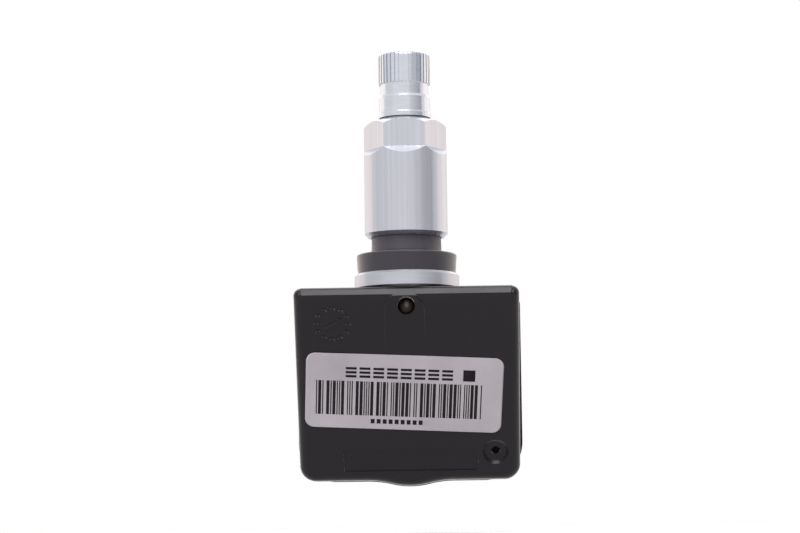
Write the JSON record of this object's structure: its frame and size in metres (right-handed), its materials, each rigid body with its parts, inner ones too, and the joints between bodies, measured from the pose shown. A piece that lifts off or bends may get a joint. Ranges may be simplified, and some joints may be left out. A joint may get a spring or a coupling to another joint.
{
  "type": "tyre pressure sensor",
  "caption": "Wedge-shaped tyre pressure sensor with a label on its sloping face, carried on a clamp-in metal valve with a rubber seal, collar nut and splined dust cap.",
  "frame": {"origin": "on the valve's axis, where the rim seats on top of the rubber flange", "axes": "+Z along the valve towards the dust cap, -Y towards the labelled face, +X to the right of it"},
  "size_m": [0.0384, 0.0231, 0.0726],
  "materials": {
    "grommet_rubber": "moulded matt black",
    "seal_rubber": "moulded matt black",
    "turned_aluminium": "turned and finely brushed",
    "bright_aluminium": "bright, with cut splines",
    "core_brass": "turned",
    "pin_steel": "drawn, with a domed end",
    "spring_steel": "drawn wire",
    "cell_steel": "pressed can",
    "tab_nickel": "stamped strip",
    "case_plastic": "moulded, fine grain",
    "board_laminate": "solder mask",
    "chip_plastic": "moulded",
    "chip_ceramic": "fired",
    "antenna_copper": "drawn wire",
    "label_film": "satin film with printed bars"
  },
  "bodies": {
    "sensor": {"rubber_grommet": "grommet_rubber", "valve_stem": "turned_aluminium", "stem_seal_ring": "seal_rubber", "cross_pin": "pin_steel", "core_body": "core_brass", "core_seal": "seal_rubber", "core_spring": "spring_steel", "front_housing": "case_plastic", "back_cover": "case_plastic", "circuit_board": "board_laminate", "coin_cell": "cell_steel", "positive_tab": "tab_nickel", "negative_tab": "tab_nickel", "pressure_sensor": "chip_plastic", "port_gasket": "seal_rubber", "radio_chip": "chip_plastic", "crystal_can": "cell_steel", "capacitors": "chip_ceramic", "motion_switch": "cell_steel", "antenna_wire": "antenna_copper", "label": "label_film"},
    "dust cap disc": {"cap_seal": "seal_rubber"},
    "dust cap": {"valve_cap": "bright_aluminium"},
    "nut ring": {"thrust_ring": "pin_steel"},
    "nut": {"collar_nut": "turned_aluminium"},
    "core plunger": {"core_pin": "core_brass", "core_cup": "core_brass", "core_cup_seal": "seal_rubber"}
  },
  "joints": [
    {"name": "cap_rise", "type": "slide", "parent": "sensor", "child": "dust cap disc", "axis": [0, 0, 1], "range_m": [0, 0.00556]},
    {"name": "cap_turn", "type": "hinge", "parent": "dust cap disc", "child": "dust cap", "pos_m": [0, 0, 0.028], "axis": [0, 0, 1], "range_deg": [0, 2520]},
    {"name": "nut_rise", "type": "slide", "parent": "sensor", "child": "nut ring", "axis": [0, 0, 1], "range_m": [0, 0.015]},
    {"name": "nut_turn", "type": "hinge", "parent": "nut ring", "child": "nut", "pos_m": [0, 0, 0.013], "axis": [0, 0, 1], "range_deg": [0, 5400]},
    {"name": "core_press", "type": "slide", "parent": "sensor", "child": "core plunger", "axis": [0, 0, -1], "range_m": [0, 0.0015], "stiffness_N_per_m": 1500, "deforming": ["core_spring"]}
  ],
  "couplings": [
    {"joint": "cap_turn", "follows": "cap_rise", "rad_per_m": 7913.3},
    {"joint": "nut_turn", "follows": "nut_rise", "rad_per_m": 6283.2}
  ]
}
